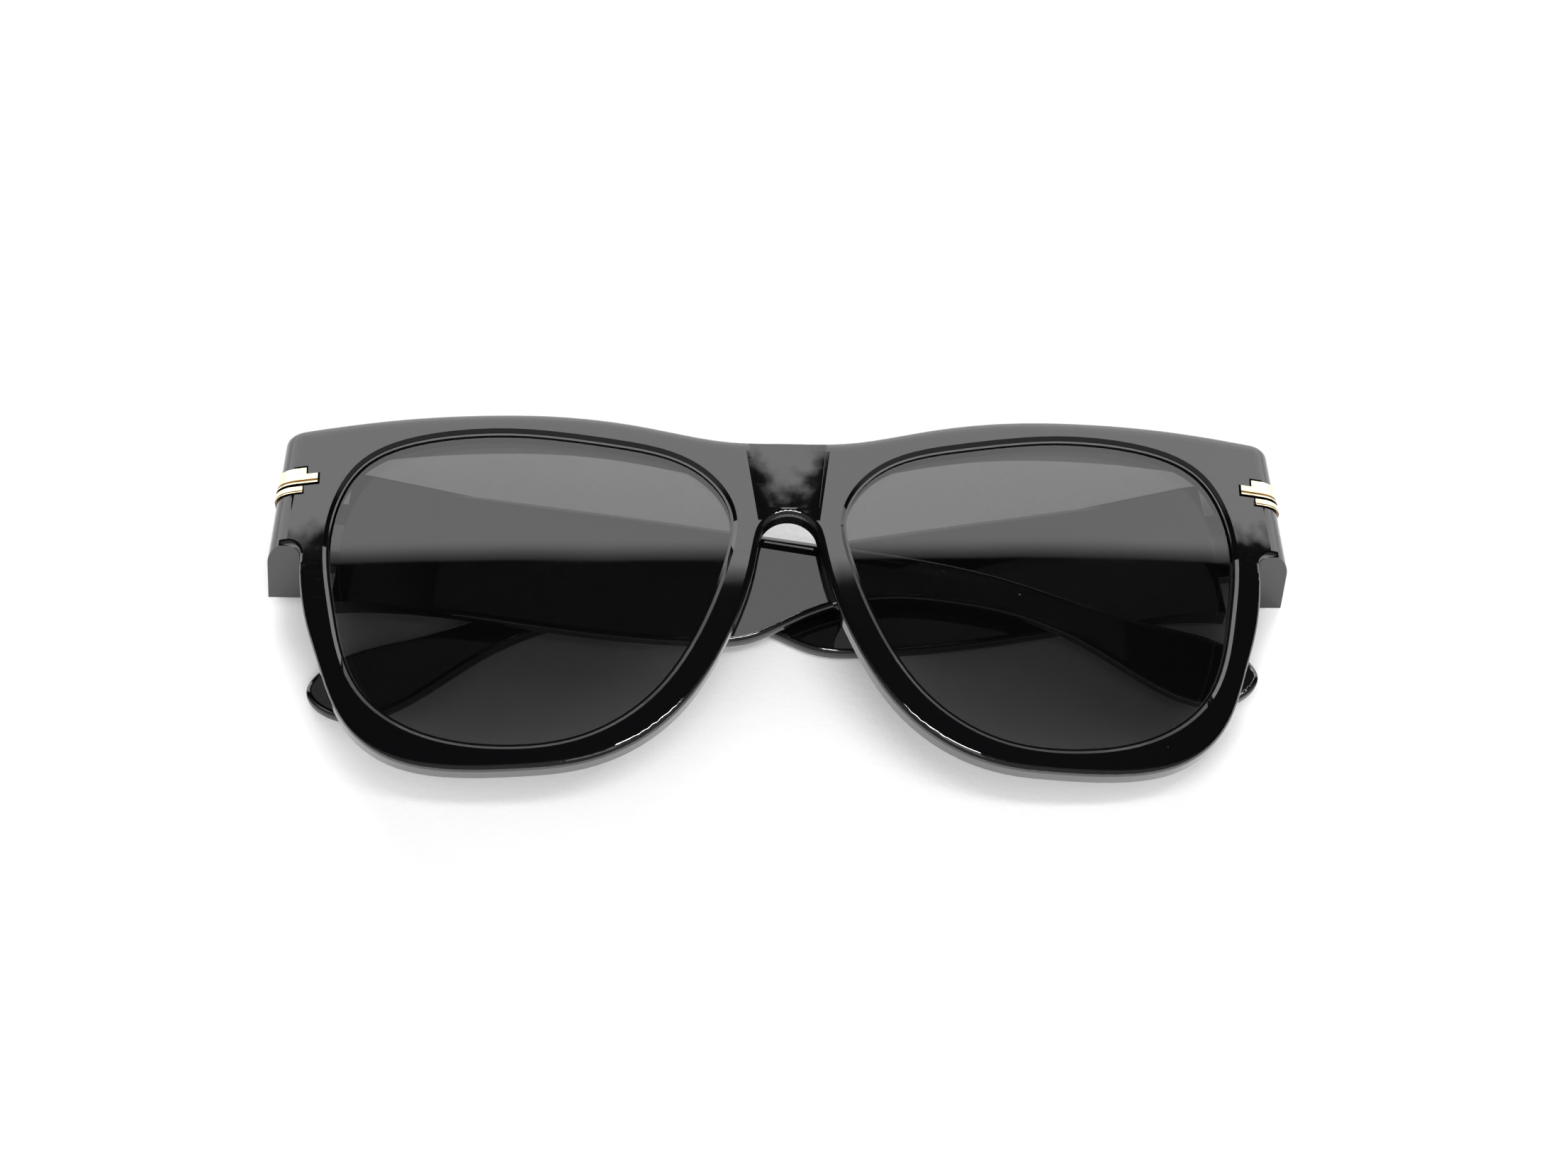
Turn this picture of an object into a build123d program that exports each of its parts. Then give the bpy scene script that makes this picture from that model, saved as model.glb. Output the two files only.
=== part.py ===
"""Fitover sunglasses, folded and lying on their back, as separate pieces.

Everything is drawn in the frame of the front: x to the right, y up towards the brow and z
out of the front towards whoever looks at it, with zero on the front surface at the middle
of the bridge. One placement at the end lays the folded glasses on the table plane.
"""
import math
import os

from build123d import *

# Overall sizes of the front, millimetres
overall_width = 150.0
front_radius = 230.0
moulding_thickness = 3.4
brow_height = 18.8
rim_drop = 36.4
side_lean = 6.6

# Side walls behind the corners
wall_depth = 23.4
wall_thickness = 4.8
wall_underside_start = 0.3
wall_underside_drop = 4.4
wedge_start = 12.2
wedge_lap = 0.2
notch_radius = 1.7
corner_radius = 4.0
inside_corner_radius = 1.6

# Arch over the nose
arch_half_width = 3.7
arch_top = 1.1
arch_side = -1.0

# Edge rounding of the front
front_edge_radius = 0.85
brow_edge_radius = 1.8
rounded_from = 13.0

# Flange that runs back along the brow
flange_depth = 11.6
flange_thickness = 1.5

# Lens openings and lenses
lens_bevel = 0.5
ledge_width = 0.35
ledge_depth = 0.6
lens_lip = 1.0
lens_thickness = 1.9
groove_depth = 0.8

# Saddle panel on the bridge
saddle_depth = 0.7
saddle_tilt = 0.5
saddle_bottom = 2.2
saddle_half_top = 6.4
saddle_half_bottom = 4.4

# Corner bars, inwards from the widest point and down from the top of the brow
bar_proud = 0.35
bar_seat = 0.7
bar_side_reach = 19.5
bar_gap = 0.45
bar_fit = 0.12
upper_bar_inset = 5.4
upper_tip_inset = 7.1
lower_bar_inset = 4.9
upper_bar_below_brow = 6.9
bar_step = 1.0
upper_tip_height = 1.4
lower_bar_height = 0.95

# Hinges, one at each side wall
hinge_inset = 5.0
hinge_below_brow = 13.9
hinge_z = -18.0
hinge_lean = 7.0
temple_drop = 6.0
barrel_radius = 2.1
barrel_half = 5.2
lug_half = 2.7
lug_root = 2.0
barrel_gap = 0.15
pocket_gap = 0.3
pocket_clearance = 0.45
skin_gap = 0.35
screw_radius = 0.7
screw_fit = 0.05
screw_head_radius = 1.2
screw_head_height = 0.9
screw_tip_gap = 0.5
screw_slot_width = 0.35
screw_slot_depth = 0.4
driver_clearance = 0.3

# Temples
temple_outer_face = 4.3
temple_inner_root = -0.2
temple_inner_face = 1.9
taper_start = 8.0
taper_end = 20.0
shoulder_reach = 5.5
shoulder_gap = 0.15
arm_lap = 1.0
temple_edge_radius = 0.8
left_pinch = 2.1
right_pinch = -1.1

# Lying on the table
lay_tilt = 5.85
lay_roll = 1.38
lay_x, lay_y, lay_z = 0.54, 7.605, 24.484

# Outline of the front, right half, shares of half the width across and of the brow height
# or rim drop up and down
brow_line = [(0.0, 0.678), (0.11, 0.689), (0.27, 0.82), (0.44, 0.937), (0.6, 0.985),
             (0.77, 1.0), (0.93, 0.984), (1.1, 0.952)]
rim_line = [(0.936, -0.075), (0.925, -0.27), (0.896, -0.475), (0.84, -0.755),
            (0.757, -0.915), (0.63, -0.99), (0.507, -1.0), (0.387, -0.98),
            (0.28, -0.893), (0.195, -0.742), (0.124, -0.505), (0.082, -0.295),
            (0.0633, -0.145)]
# Lens opening, right side, shares of half the width across and the rim drop up or down
lens_line = [(0.53, 0.402), (0.7, 0.4), (0.82, 0.31), (0.877, 0.05), (0.866, -0.26),
             (0.807, -0.632), (0.707, -0.805), (0.54, -0.893), (0.387, -0.862),
             (0.264, -0.708), (0.17, -0.42), (0.123, -0.16), (0.112, 0.035),
             (0.163, 0.2), (0.333, 0.335)]
# Temple outline in its own plane, millimetres along from the hinge and up from it
temple_top = [(5.5, 10.5), (38.0, 9.9), (60.0, 9.2), (75.0, 8.6), (90.0, 7.9),
              (104.0, 6.0), (116.0, 3.0), (126.0, 1.1), (133.0, 0.1), (138.0, -1.9)]
temple_tip = (141.2, -5.6)
temple_bottom = [(138.2, -9.8), (132.5, -10.9), (124.0, -7.9), (114.0, -2.6), (105.0, 0.2),
                 (95.0, 1.2), (86.0, 0.7), (78.0, -1.8), (71.5, -5.6), (66.5, -8.6),
                 (60.0, -9.9), (38.0, -10.4), (5.5, -11.1)]

half_width = overall_width / 2
hinge_x = half_width - hinge_inset
hinge_y = brow_height - hinge_below_brow
wall_inner_x = half_width - wall_thickness
upper_bar_top = brow_height - upper_bar_below_brow
upper_bar_bottom = upper_bar_top - bar_step - upper_tip_height
lower_bar_top = upper_bar_bottom - bar_gap
# Spare length of shapes that cut or are cut, and how near an edge counts as on a surface
spare = 5.0
touching = 0.02


def _mirrored(shape):
    return shape.mirror(Plane.YZ)


def front_body(inset, side_inset, corner, back):
    """Solid behind the front surface, inset from it and from its leaning sides."""
    block = Pos(0, 0, -front_radius) * Rotation(90, 0, 0) * Cylinder(
        front_radius - inset, overall_width)
    block = block & Pos(0, 0, -back / 2) * Box(2 * overall_width, overall_width, back)
    lean = math.radians(side_lean)
    for side in (1, -1):
        out = Vector(side * math.cos(lean), math.sin(lean), 0)
        at = Vector(side * half_width, 0, 0) - out * side_inset
        block = split(block, bisect_by=Plane(origin=at, z_dir=out), keep=Keep.BOTTOM)
    uprights = [e for e in block.edges()
                if e.length > overall_width / 2 and e.center().Z > -back / 2]
    return fillet(uprights, corner)


def outline_points(shares, up_share, down_share):
    return [(x * half_width, y * (up_share if y > 0 else down_share)) for x, y in shares]


def front_outline():
    brow = outline_points(brow_line, brow_height, rim_drop)
    rim = outline_points(rim_line, brow_height, rim_drop)
    far, edge = brow[-1][0], rim[0][0]
    turn = wall_underside_start - notch_radius
    arch_end = (arch_half_width, arch_side)
    rise = arch_top - arch_side
    arch_radius = (arch_half_width ** 2 + rise ** 2) / (2 * rise)
    steep = arch_half_width / arch_radius
    arch_end_direction = (-math.sqrt(1 - steep ** 2), steep)
    half = [
        Spline(*brow, tangents=[(1, 0), (1, -0.05)]),
        Line(brow[-1], (far, wall_underside_start)),
        Line((far, wall_underside_start), (edge + notch_radius, wall_underside_start)),
        TangentArc((edge + notch_radius, wall_underside_start), (edge, turn),
                   tangent=(-1, 0)),
        Line((edge, turn), rim[0]),
        Spline(*rim, arch_end, tangents=[(0, -1), arch_end_direction],
               tangent_scalars=[0.5, 0.6]),
    ]
    edges = [e for part in half for e in part.edges()]
    edges += [_mirrored(e) for e in edges]
    arch = ThreePointArc(arch_end, (0, arch_top), (-arch_end[0], arch_end[1]))
    return Face(Wire(edges + arch.edges()))


def lens_face(grow=0.0):
    """Lens outline through its points, each moved out by `grow`."""
    points = outline_points(lens_line, rim_drop, rim_drop)
    moved = []
    for index, (x, y) in enumerate(points):
        before, after = points[index - 1], points[(index + 1) % len(points)]
        across, up = after[0] - before[0], after[1] - before[1]
        length = math.hypot(across, up)
        moved.append((x - grow * up / length, y + grow * across / length))
    return make_face(Spline(*moved, periodic=True))


def slab(near, deep):
    """Curved slab between two insets from the front surface."""
    at = Pos(0, 0, -front_radius) * Rotation(90, 0, 0)
    near_side = Cylinder(front_radius - near, overall_width)
    return at * (near_side - Cylinder(front_radius - deep, overall_width))


def upright(face, low, high):
    return extrude(Pos(0, 0, low) * face, high - low, dir=(0, 0, 1))


def wall_wedge():
    """The lower edge of a side wall drops as it runs back."""
    start, end = -wedge_start, -(wall_depth + spare)
    slope = wall_underside_drop / (wall_depth - wedge_start)
    drop = wall_underside_start - slope * (start - end)
    points = [(start, wall_underside_start), (end, drop), (end, wall_underside_start + spare),
              (start, wall_underside_start + spare)]
    face = make_face(Polyline(*[(wall_inner_x + wedge_lap, y, z) for z, y in points], close=True))
    return extrude(face, 2 * spare, dir=(1, 0, 0))


def hinge_location(turn):
    """Frame of the right hinge: z up its axis, x where the temple points at `turn`."""
    lean, drop, angle = map(math.radians, (hinge_lean, temple_drop, turn))
    axis = Vector(-math.sin(lean), math.cos(lean) * math.cos(drop),
                  -math.cos(lean) * math.sin(drop))
    inward = Vector(-math.cos(lean), -math.sin(lean), 0)
    inward = (inward - axis * axis.dot(inward)).normalized()
    forward = axis.cross(inward)
    along = inward * math.cos(angle) + forward * math.sin(angle)
    return Plane(origin=(hinge_x, hinge_y, hinge_z), x_dir=along, z_dir=axis).location


def block_between(low, high):
    size = [b - a for a, b in zip(low, high)]
    middle = [(a + b) / 2 for a, b in zip(low, high)]
    return Pos(*middle) * Box(*size)


def on_both_sides(shape):
    return [shape, _mirrored(shape)]


def on_front(edge):
    """True where an edge lies on the front surface."""
    spots = [edge @ 0, edge @ 0.5, edge @ 1]
    off = [abs(math.hypot(p.X, p.Z + front_radius) - front_radius) for p in spots]
    return max(off) < touching


def front_blank():
    """The moulding before it is hollowed, with its outer edges rounded."""
    deep = wall_depth + spare
    body = front_body(0, 0, corner_radius, deep)
    blank = upright(front_outline(), -deep, spare) & body
    below = [e for e in blank.edges() if on_front(e) and e.center().Y < wall_underside_start]
    blank = fillet(below, front_edge_radius)
    above = [e for e in blank.edges()
             if e.center().Y > rounded_from and e.center().Z > -(deep - touching)
             and e.length > corner_radius / 2]
    blank = fillet(above, brow_edge_radius)
    for wedge in on_both_sides(wall_wedge()):
        blank = blank + (wedge & body)
    return blank


def bar_prisms(fit=0.0):
    """The upper and the lower corner bar of the right side before they are curved, each
    larger by `fit` all round."""
    back, side = -bar_side_reach - fit, half_width + spare
    upper = block_between((half_width - upper_bar_inset - fit, upper_bar_bottom - fit, back),
                          (side, upper_bar_top + fit, 0))
    tip = block_between((half_width - upper_tip_inset - fit, upper_bar_bottom - fit, back),
                        (side, upper_bar_top - bar_step + fit, 0))
    lower = block_between((half_width - lower_bar_inset - fit,
                           lower_bar_top - lower_bar_height - fit, back),
                          (side, lower_bar_top + fit, 0))
    return [upper + tip, lower]


def bar_shell(inner, outer):
    """Shell that follows the front surface, the corner and the side."""
    deep = wall_depth + spare
    solid = front_body(-outer, -outer, corner_radius + outer, deep)
    return solid - front_body(inner, inner, corner_radius - inner, deep + spare)


def corner_bars():
    shell = bar_shell(bar_seat, bar_proud)
    return [prism & shell for prism in bar_prisms()]


def hinge_barrel(low, high, radius, back):
    """A barrel on the hinge axis with an arm that runs `back` along x."""
    height = high - low
    barrel = Pos(0, 0, (low + high) / 2) * Cylinder(radius, height)
    arm = block_between((min(0, back), -radius, low), (max(0, back), radius, high))
    return barrel + arm


def front_frame():
    deep = wall_depth + spare
    body = front_blank()
    hollow = front_body(moulding_thickness, wall_thickness, inside_corner_radius,
                        deep + spare)
    top = upright(front_outline(), -deep, spare)
    flange = top - Pos(0, -flange_thickness, 0) * top
    flange = flange & slab(-spare, flange_depth)
    flange = flange & block_between((-half_width, arch_top, -deep),
                                    (half_width, brow_height + spare, 0))
    body = body - (hollow - flange)
    # Lens openings with a bevel and a narrow ledge in front of the lens
    for opening in on_both_sides(upright(lens_face(), -wall_depth, spare)):
        body = body - opening
    ledge = upright(lens_face(ledge_width), -wall_depth, spare) & slab(-spare, ledge_depth)
    for step in on_both_sides(ledge):
        body = body - step
    lips = [e for e in body.edges() if on_front(e) and e.is_closed]
    body = chamfer(lips, lens_bevel)
    # Saddle panel, sunk a little deeper towards the nose
    corners = [(-saddle_half_bottom, saddle_bottom), (saddle_half_bottom, saddle_bottom),
               (saddle_half_top, brow_height), (-saddle_half_top, brow_height)]
    saddle = upright(make_face(Polyline(*corners, close=True)), -spare, spare)
    middle = Pos(0, (saddle_bottom + brow_height) / 2, 0)
    sunk = middle * Rotation(saddle_tilt, 0, 0) * slab(-spare, saddle_depth)
    body = body - (saddle & sunk)
    # Seats of the corner bars
    seats = bar_shell(bar_seat, corner_radius / 2)
    for prism in bar_prisms(bar_fit):
        for seat in on_both_sides(prism & seats):
            body = body - seat
    # Hinge pockets, lugs and the way in for the screw
    shoulder = shoulder_reach - shoulder_gap
    far = half_width
    beyond = block_between((shoulder, -far, -far), (far, far, far))
    pocket_half = barrel_half + pocket_gap
    pocket = block_between((-barrel_radius - pocket_clearance, -barrel_radius - skin_gap,
                            -pocket_half), (far, far, pocket_half))
    way_in = Pos(0, 0, far / 2) * Cylinder(screw_head_radius + driver_clearance, far)
    lug = hinge_barrel(-lug_half, lug_half, barrel_radius, -barrel_radius - lug_root)
    hole = Cylinder(screw_radius + screw_fit, 2 * pocket_half)
    place = hinge_location(-90)
    for cut in (beyond, pocket, way_in):
        for shape in on_both_sides(place * cut):
            body = body - shape
    for shape in on_both_sides(place * lug):
        body = body + shape
    for shape in on_both_sides(place * hole):
        body = body - shape
    # Grooves that hold the lenses
    for lens in on_both_sides(right_lens()):
        body = body - lens
    return body


def right_lens():
    blank = upright(lens_face(groove_depth), -wall_depth, spare)
    return blank & slab(lens_lip, lens_lip + lens_thickness)


def temple(pinch):
    """The right temple where it lies folded, its tip `pinch` degrees towards the lenses."""
    curve = Spline(*temple_top, temple_tip, *temple_bottom)
    butt = Line(temple_bottom[-1], temple_top[0])
    face = Face(Wire([Plane.XZ * curve.edges()[0], Plane.XZ * butt.edges()[0]]))
    plate = extrude(Pos(0, -temple_inner_root, 0) * face,
                    temple_outer_face - temple_inner_root, dir=(0, -1, 0))
    far, root, face_line = overall_width, -temple_inner_root, -temple_inner_face
    inside = make_face(Polyline((-spare, spare), (-spare, root), (taper_start, root),
                                (taper_end, face_line), (far, face_line), (far, spare),
                                close=True))
    inside = Pos(0, 0, -half_width / 2) * inside
    plate = plate - extrude(inside, half_width, dir=(0, 0, 1))
    rims = [e for e in plate.edges() if e.length > half_width]
    plate = fillet(rims, temple_edge_radius)
    middle = lug_half + barrel_gap
    for low, high in ((middle, barrel_half), (-barrel_half, -middle)):
        barrel = Pos(0, 0, (low + high) / 2) * Cylinder(barrel_radius, high - low)
        arm = block_between((0, -barrel_radius, low), (shoulder_reach + arm_lap, root, high))
        plate = plate + barrel + arm
    bore = Cylinder(screw_radius + screw_fit, 3 * barrel_half)
    head = Pos(0, 0, barrel_half) * Cylinder(screw_head_radius + screw_fit,
                                             2 * screw_head_height)
    return hinge_location(pinch) * (plate - bore - head)


def hinge_screw():
    shank_low = -barrel_half + screw_tip_gap
    shank_high = barrel_half - screw_head_height
    shank = Pos(0, 0, (shank_low + shank_high) / 2) * Cylinder(
        screw_radius, shank_high - shank_low)
    head = Pos(0, 0, barrel_half - screw_head_height / 2) * Cylinder(
        screw_head_radius, screw_head_height)
    slot = Pos(0, 0, barrel_half) * Box(4 * screw_head_radius, screw_slot_width,
                                        2 * screw_slot_depth)
    return hinge_location(0) * (shank + head - slot)


def laid(shape):
    """Put a piece of the folded glasses where they lie on the table."""
    turn = Rotation(lay_tilt, lay_roll, 0)
    return Pos(lay_x, lay_y, lay_z) * turn * shape


if __name__ == "__main__":
    os.makedirs("parts", exist_ok=True)
    upper, lower = corner_bars()
    lens, screw = right_lens(), hinge_screw()
    nodes = {
        "front_frame": front_frame(),
        "right_lens": lens,
        "left_lens": _mirrored(lens),
        "right_temple": temple(right_pinch),
        "left_temple": _mirrored(temple(left_pinch)),
        "right_hinge_screw": screw,
        "left_hinge_screw": _mirrored(screw),
        "right_upper_bar": upper,
        "left_upper_bar": _mirrored(upper),
        "right_lower_bar": lower,
        "left_lower_bar": _mirrored(lower),
    }
    for name, shape in nodes.items():
        export_step(laid(shape), f"parts/{name}.step")
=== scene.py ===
import math

import bpy
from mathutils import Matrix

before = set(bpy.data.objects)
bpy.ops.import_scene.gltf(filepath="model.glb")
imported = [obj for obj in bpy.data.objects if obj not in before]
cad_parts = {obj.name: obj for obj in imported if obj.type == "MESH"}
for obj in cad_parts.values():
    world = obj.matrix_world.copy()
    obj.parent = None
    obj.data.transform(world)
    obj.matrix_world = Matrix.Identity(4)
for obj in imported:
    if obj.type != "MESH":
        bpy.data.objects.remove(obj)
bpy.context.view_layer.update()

# Metres and degrees. The glasses lie folded on their back: x runs across them, y up to the
# brow and z away from the table.

# Camera over the glasses, its lens in millimetres
camera_place = (-0.01942, -0.20876, 0.42174)
camera_tilt, camera_roll, camera_turn = 27.387, -2.225, -0.999
camera_lens = 72.86
camera_near = 0.01

# What the polished black mirrors, by how far a direction leans towards the brow: a white tent
# with a grey strip at its edge, black cloth over the lenses, a dim room and one pale panel
tent_strength, tent_edge, tent_softness = 2.0, 0.2815, 0.0035
tent_bend = 0.05
strip_strength, strip_edge, strip_softness = 0.3, 0.2785, 0.0006
room_strength, room_high, room_low = 0.26, -0.12, -0.42
panel_strength = 1.15
panel_middle, panel_half_height, panel_half_width = -0.45, 0.12, 0.16
panel_even_share = 0.9

# What lights the object: a soft light over the rims, one low behind the brow, a faint dome
# and a small near lamp for the glints. A soft light's middle leans so far towards the brow,
# and its outer and inner edges are cosines.
rims_strength, rims_lean = 3.3, -33
rims_outer, rims_inner = 0.8, 0.98
brow_strength, brow_lean = 5.0, 58
brow_outer, brow_inner = 0.84, 0.97
dome_strength = 0.26
lamp_place = (0.024, -0.06, 0.21)
lamp_length, lamp_width = 0.09, 0.014
lamp_power = 0.12

table_half_side = 4.0

# The front lies tilted on the table: its own across, up and above, each as shares of x, y and
# z and a shift
front_axes = (
    (0.9997, 0.0025, -0.024, 0.00003),
    (0, 0.9948, 0.1019, -0.01006),
    (0.0241, -0.1019, 0.9945, -0.02359),
)

# Slopes that lean what the front mirrors, and where they act on it: a crown that grows from
# the nose to the ends, a rippled saddle over the nose that flares upwards, its brim that isn't
# sunk like the rest, and a swirl at the ends
crown_from, crown_to = 0.012, 0.062
crown_at_nose, crown_rise = -0.0034, 0.0064
saddle_half_width, saddle_flare, saddle_blur = 0.0044, 0.153, 0.00005
saddle_foot, saddle_deepest = 0.0002, -0.002
saddle_lean, saddle_curl = 0.0056, 150
brim_low, brim_high, brim_lean = -0.0004, -0.0003, 0.0082
ripple_per_metre, ripple_lean = 420, 0.006
swirl_from, swirl_to = 0.058, 0.066
swirl_per_metre, swirl_low, swirl_rise = 200, -0.0066, 0.014

# Seats of the gold bars in the front: how far out each starts, its lower and its upper edge
seats = ((0.0676, 0.00925, 0.0111), (0.0694, 0.0093, 0.01235), (0.06995, 0.00797, 0.0095))
seat_lean = 0.05

# Temples: where the tips start to bend and their slope per metre past that, and the left one's
# flat inner face, which leans, with a thin line above it, both measured down from its upper edge
tip_from, tip_bend = 0.04, 12
edge_height, edge_fall = 0.01432, 0.176
line_top, line_foot, face_top = 0.0008, 0.0011, 0.0021
face_turned, face_flat = 0.96, 0.985
face_lean_aside = -0.09
left_face_lean, right_face_lean = 0.5, 0.0

# Bands along the gold bars where brown is painted as the shade in their grooves, lower and upper
# edge of each on the front, and how far a bar's surface turns along y before it counts as a side
# wall, which is painted brown as shade too
groove_shade_bands = ((0.00972, 0.01006), (0.00822, 0.0084))
wall_from, wall_to = 0.25, 0.6

moulding_black, moulding_dust = (0.003, 0.003, 0.0034, 1), (0.09, 0.088, 0.085, 1)
smoke_tint, smoke_dust = (0.002, 0.002, 0.002, 1), (0.12, 0.12, 0.12, 1)
gold_dull, gold_bright = (0.86, 0.79, 0.54, 1), (0.92, 0.86, 0.62, 1)
# Brown painted on the gold bars' side walls and groove bands as shade
gold_painted_shade = (0.16, 0.08, 0.02, 1)
steel_dark, steel_light = (0.5, 0.5, 0.5, 1), (0.66, 0.65, 0.63, 1)
table_white, studio_white = (0.97, 0.97, 0.97, 1), (1, 1, 1, 1)


class Field:
    """An output socket that can be used in sums written as Python expressions."""

    def __init__(self, tree, socket):
        self.tree, self.socket = tree, socket

    def _with(self, operation, *terms):
        return self.tree.add("ShaderNodeMath", {"operation": operation},
                             dict(enumerate(terms)))

    def __add__(self, other):
        return self._with("ADD", self, other)

    def __sub__(self, other):
        return self._with("SUBTRACT", self, other)

    def __rsub__(self, other):
        return self._with("SUBTRACT", other, self)

    def __mul__(self, other):
        return self._with("MULTIPLY", self, other)

    def __gt__(self, other):
        return self._with("GREATER_THAN", self, other)

    def __lt__(self, other):
        return self._with("LESS_THAN", self, other)

    __radd__, __rmul__ = __add__, __mul__

    def over(self, low, high):
        """0 at low, 1 at high, smooth between."""
        return self.tree.add("ShaderNodeMapRange", {"interpolation_type": "SMOOTHSTEP"},
                             {"Value": self, "From Min": low, "From Max": high})

    def within(self, low, high):
        """1 between low and high, 0 outside."""
        return (self > low) * (self < high)

    def size(self):
        return self._with("ABSOLUTE", self)

    def most(self, other):
        return self._with("MAXIMUM", self, other)


class Tree:
    """The node tree of one finish."""

    def __init__(self, tree):
        self.tree = tree
        tree.nodes.clear()

    def add(self, kind, settings=None, sockets=None, out=0):
        """Any node: its settings, its socket values or links, and the output to go on with."""
        node = self.tree.nodes.new(kind)
        for name, value in (settings or {}).items():
            setattr(node, name, value)
        for name, value in (sockets or {}).items():
            if isinstance(value, Field):
                self.tree.links.new(value.socket, node.inputs[name])
            else:
                node.inputs[name].default_value = value
        return Field(self, node.outputs[out]) if node.outputs else None

    def noise(self, where, per_metre, detail=2.0, rough=0.5, seed=0.0):
        return self.add("ShaderNodeTexNoise", {"noise_dimensions": "4D"},
                        {"Vector": where, "W": seed, "Scale": per_metre, "Detail": detail,
                         "Roughness": rough})

    def stretched(self, where, scale, turn=(0, 0, 0)):
        return self.add("ShaderNodeMapping", {},
                        {"Vector": where, "Rotation": turn, "Scale": scale})

    def parts(self, vector):
        """The x, y and z of a place or a direction."""
        return [self.add("ShaderNodeSeparateXYZ", {}, {"Vector": vector}, out=part)
                for part in "XYZ"]

    def colour_mix(self, share, first, second):
        return self.add("ShaderNodeMix", {"data_type": "RGBA"}, {0: share, 6: first, 7: second},
                        out=2)

    def bump(self, height, distance, normal=None):
        sockets = {"Height": height, "Distance": distance}
        if normal:
            sockets["Normal"] = normal
        return self.add("ShaderNodeBump", {}, sockets)

    def facing(self):
        """The direction that the surface faces."""
        return self.add("ShaderNodeNewGeometry", out="Normal")

    def vector_sum(self, operation, *terms):
        return self.add("ShaderNodeVectorMath", {"operation": operation}, dict(enumerate(terms)))

    def leaned(self, across, up):
        """The direction that the surface faces, leaned by two slopes."""
        lean = self.add("ShaderNodeCombineXYZ", {}, {"X": across, "Y": up})
        return self.vector_sum("NORMALIZE", self.vector_sum("ADD", self.facing(), lean))

    def finish(self, surface, kind="ShaderNodeOutputMaterial"):
        self.add(kind, {}, {"Surface": surface})


def new_finish(name):
    """A material, its tree and the place on the object."""
    material = bpy.data.materials.new(name)
    material.use_nodes = True
    tree = Tree(material.node_tree)
    return material, tree, tree.add("ShaderNodeTexCoord", out="Object")


def specks(tree, where, per_metre, size, seed):
    """Mask of sparse round specks, one in a few cells."""
    away = tree.add("ShaderNodeTexVoronoi", {"voronoi_dimensions": "4D"},
                    {"Vector": where, "W": seed, "Scale": per_metre}, out="Distance")
    return 1 - away.over(size * 0.5, size)


def hairlines(tree, where, turn, seed):
    """Mask of thin long wiping scratches, turned about z in radians."""
    lines = tree.noise(tree.stretched(where, (40, 2600, 2600), (0, 0, turn)), per_metre=1,
                       detail=1, seed=seed)
    return lines.over(0.68, 0.74)


def polish(tree, where, normal):
    """Glossy black moulding with fine marks on top of a leaned normal."""
    dust = (specks(tree, where, per_metre=420, size=0.09, seed=1)
            * tree.noise(where, per_metre=60, seed=4).over(0.5, 0.62))
    wiped = (hairlines(tree, where, turn=0.5, seed=2)
             .most(hairlines(tree, where, turn=-0.7, seed=3)))
    haze = tree.noise(where, per_metre=45, detail=3, seed=6)
    waves = tree.noise(where, per_metre=110, detail=1, seed=8)
    grain = tree.noise(where, per_metre=2500, seed=9)
    shader = tree.add("ShaderNodeBsdfPrincipled", {}, {
        "Base Color": tree.colour_mix(dust, moulding_black, moulding_dust),
        "Roughness": 0.012 + haze * 0.02 + wiped * 0.03 + dust * 0.4,
        "IOR": 1.78,
        "Normal": tree.bump(waves * 6e-6 + grain * 6e-8, 1.0, normal),
    })
    tree.finish(shader)


def on_front(tree, where):
    """A place across, up and above the front's own face."""
    x, y, z = tree.parts(where)
    return [x * of_x + y * of_y + z * of_z + shift for of_x, of_y, of_z, shift in front_axes]


def front_black():
    """The front, very slightly crowned: its mirror image sits lower beside the nose, higher
    at the ends and highest, and rippled, in the saddle over the nose. The seats of the gold
    bars show as a dark edge round them."""
    material, tree, where = new_finish("front_black")
    across, up, above = on_front(tree, where)
    outward = across.size()
    crown = outward.over(crown_from, crown_to) * crown_rise + crown_at_nose
    beside = outward - (up * saddle_flare + saddle_half_width)
    in_saddle = ((1 - beside.over(-saddle_blur, saddle_blur)) * (up > saddle_foot)
                 * (above > saddle_deepest))
    brim = above.over(brim_low, brim_high) * brim_lean
    ripple = tree.noise(where, ripple_per_metre, seed=10) * ripple_lean - ripple_lean / 2
    saddle = in_saddle * (outward * outward * saddle_curl + saddle_lean + ripple + brim)
    swirl = outward.over(swirl_from, swirl_to) * (
        tree.noise(where, swirl_per_metre, seed=15) * swirl_rise + swirl_low)
    first, second, third = [(outward > start) * up.within(foot, top) for start, foot, top in seats]
    seat = first.most(second).most(third)
    polish(tree, where, tree.leaned(0, -1 * (crown + saddle + swirl + seat * seat_lean)))
    return material


def temple_black(side, face_lean):
    """A temple whose leaned shading makes its flat inner face mirror as if it leaned towards the
    rims, and its tip, which lies folded on side 1 or -1 of the middle, as if bent to the head."""
    material, tree, where = new_finish("temple_black")
    across, up, _ = tree.parts(where)
    past = (across * side - tip_from).most(0)
    bend = past * (side * tip_bend)
    below = edge_height - across * edge_fall - up
    flat = (tree.parts(tree.facing())[2].over(face_turned, face_flat)
            * (below > face_top).most(below.within(line_top, line_foot)))
    aside = flat * (face_lean_aside * face_lean) - bend
    polish(tree, where, tree.leaned(aside, flat * -face_lean))
    return material


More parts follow.
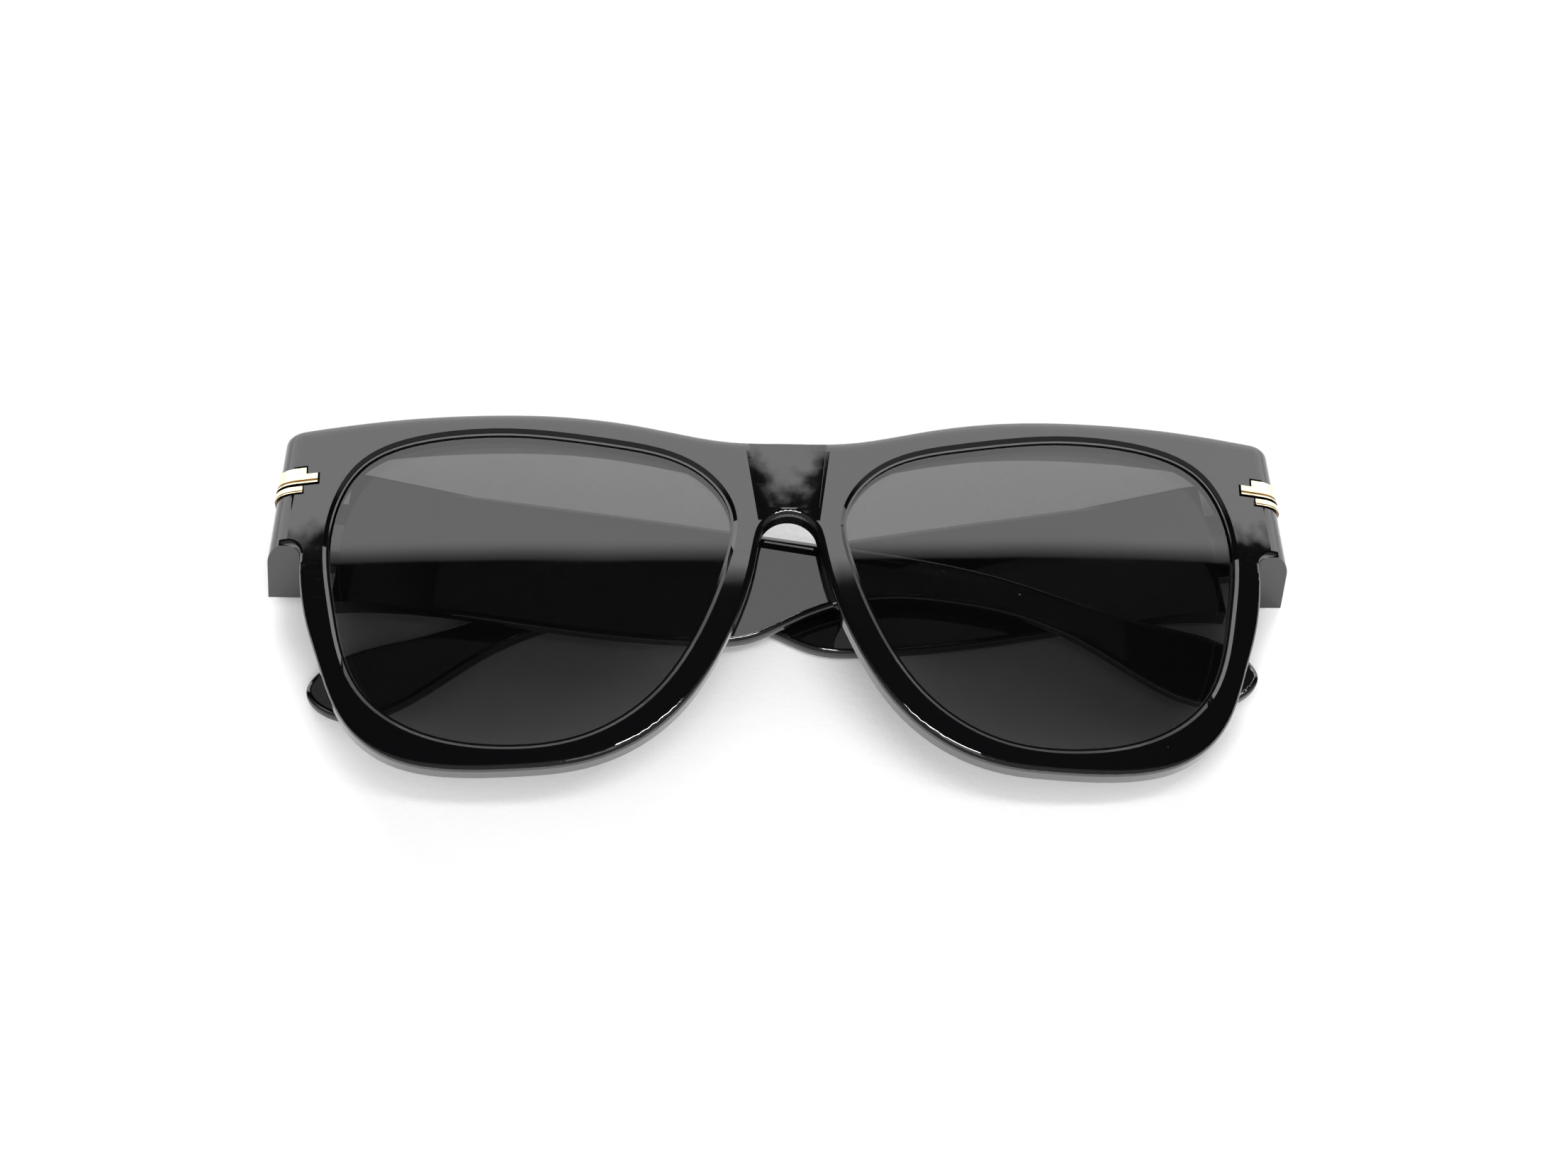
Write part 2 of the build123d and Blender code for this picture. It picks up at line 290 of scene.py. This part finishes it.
def smoke_lens():
    """Dark see-through lens with a little dust and smear."""
    material, tree, where = new_finish("smoke_lens")
    dust = (specks(tree, where, per_metre=300, size=0.08, seed=11)
            * tree.noise(where, per_metre=50, seed=12).over(0.52, 0.64))
    smear = tree.noise(where, per_metre=70, detail=4, rough=0.6, seed=13).over(0.45, 0.75)
    waves = tree.noise(where, per_metre=40, detail=1, seed=14)
    shader = tree.add("ShaderNodeBsdfPrincipled", {}, {
        "Base Color": tree.colour_mix(dust, smoke_tint, smoke_dust),
        "Roughness": 0.006 + smear * 0.012 + dust * 0.3,
        "IOR": 1.86,
        "Alpha": 0.635 + dust * 0.3,
        "Normal": tree.bump(waves, distance=4e-6),
    })
    tree.finish(shader)
    return material


def gold_trim():
    """Polished pale gold, brushed along its length, with brown painted as shade on its side walls
    and in bands along its grooves.
    """
    material, tree, where = new_finish("gold_trim")
    brushed = tree.noise(tree.stretched(where, (120, 9000, 3000)), per_metre=1, seed=21)
    patch = tree.noise(where, per_metre=400, seed=22)
    wall = tree.parts(tree.facing())[1].size().over(wall_from, wall_to)
    up = on_front(tree, where)[1]
    first, second = [up.within(foot, top) for foot, top in groove_shade_bands]
    shader = tree.add("ShaderNodeBsdfPrincipled", {}, {
        # Brown painted shade on the bar's side walls and in the groove bands
        "Base Color": tree.colour_mix(wall.most(first.most(second)),
                                      tree.colour_mix(patch, gold_dull, gold_bright),
                                      gold_painted_shade),
        "Metallic": 1.0,
        "Roughness": 0.05 + brushed * 0.06,
        "Normal": tree.bump(brushed, distance=4e-6),
    })
    tree.finish(shader)
    return material


def screw_steel():
    """Plain steel with turning marks round the screw, which stands along y."""
    material, tree, where = new_finish("screw_steel")
    rings = tree.noise(tree.stretched(where, (9000, 300, 9000)), per_metre=1, seed=31)
    stain = tree.noise(where, per_metre=900, detail=3, seed=32)
    shader = tree.add("ShaderNodeBsdfPrincipled", {}, {
        "Base Color": tree.colour_mix(stain, steel_dark, steel_light),
        "Metallic": 1.0,
        "Roughness": 0.24 + rings * 0.16,
        "Normal": tree.bump(rings, distance=1e-5),
    })
    tree.finish(shader)
    return material


def table_top():
    """White paper-like table with a fine grain."""
    material, tree, where = new_finish("table_top")
    grain = tree.noise(where, per_metre=900, detail=3, seed=41)
    shader = tree.add("ShaderNodeBsdfPrincipled", {}, {
        "Base Color": table_white,
        "Roughness": 0.6,
        "Specular IOR Level": 0.2,
        "Normal": tree.bump(grain, distance=1e-4),
    })
    tree.finish(shader)
    return material


def dress():
    """Each piece gets its finish, and a piece without one in the list is a gold bar."""
    lens, bar, screw = smoke_lens(), gold_trim(), screw_steel()
    finishes = {
        "front_frame": front_black(),
        "left_lens": lens,
        "right_lens": lens,
        "left_temple": temple_black(1, left_face_lean),
        "right_temple": temple_black(-1, right_face_lean),
        "left_hinge_screw": screw,
        "right_hinge_screw": screw,
    }
    for name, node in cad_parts.items():
        node.data.materials.clear()
        node.data.materials.append(finishes.get(name, bar))


def lay_table():
    half = table_half_side
    mesh = bpy.data.meshes.new("table")
    corners = [(-half, -half, 0), (half, -half, 0), (half, half, 0), (-half, half, 0)]
    mesh.from_pydata(corners, [], [(0, 1, 2, 3)])
    table = bpy.data.objects.new("table", mesh)
    bpy.context.scene.collection.objects.link(table)
    mesh.materials.append(table_top())


def soft_light(upward, towards_brow, strength, lean, outer, inner):
    """A round soft light of the studio, its middle leaned towards the brow."""
    angle = math.radians(lean)
    facing = upward * math.cos(angle) + towards_brow * math.sin(angle)
    return facing.over(outer, inner) * strength


def soft_sided(distance, half):
    """1 in the middle of a panel, falling to 0 at its sides."""
    return 1 - distance.size().over(half * panel_even_share, half)


def hang_tent():
    """World light: what is mirrored and what lights the object, with plain white behind."""
    world = bpy.data.worlds.new("studio")
    world.use_nodes = True
    bpy.context.scene.world = world
    tree = Tree(world.node_tree)
    aside, towards_brow, upward = tree.parts(tree.add("ShaderNodeTexCoord", out="Generated"))
    reach = towards_brow - aside * aside * tent_bend
    tent = reach.over(tent_edge - tent_softness, tent_edge + tent_softness)
    strip = reach.over(strip_edge - strip_softness, strip_edge + strip_softness)
    room = 1 - towards_brow.over(room_low, room_high)
    panel = (soft_sided(towards_brow - panel_middle, panel_half_height)
             * soft_sided(aside, panel_half_width))
    mirrored = (room * room_strength + strip * strip_strength
                + tent * (tent_strength - strip_strength) + panel * panel_strength)
    lit = (dome_strength
           + soft_light(upward, towards_brow, rims_strength, rims_lean, rims_outer, rims_inner)
           + soft_light(upward, towards_brow, brow_strength, brow_lean, brow_outer, brow_inner))
    seen = tree.add("ShaderNodeLightPath", out="Is Camera Ray")
    glossy = tree.add("ShaderNodeLightPath", out="Is Glossy Ray")
    light = lit + glossy * (mirrored - lit)
    strength = light + seen * (1 - light)
    shader = tree.add("ShaderNodeBackground", {}, {"Color": studio_white, "Strength": strength})
    tree.finish(shader, "ShaderNodeOutputWorld")


def hang_lamp():
    """Near lamp: its shape is what glints on the lower rims."""
    lamp = bpy.data.objects.new("lamp", bpy.data.lights.new("lamp", "AREA"))
    bpy.context.scene.collection.objects.link(lamp)
    lamp.location = lamp_place
    lamp.data.shape = "RECTANGLE"
    lamp.data.size, lamp.data.size_y = lamp_length, lamp_width
    lamp.data.energy = lamp_power
    lamp.visible_camera = False


def hang_camera():
    camera = bpy.data.objects.new("camera", bpy.data.cameras.new("camera"))
    bpy.context.scene.collection.objects.link(camera)
    camera.location = camera_place
    camera.rotation_euler = [math.radians(a) for a in (camera_tilt, camera_roll, camera_turn)]
    camera.data.lens = camera_lens
    camera.data.clip_start = camera_near
    bpy.context.scene.camera = camera


dress()
lay_table()
hang_tent()
hang_lamp()
hang_camera()
bpy.context.scene.view_settings.view_transform = "Standard"
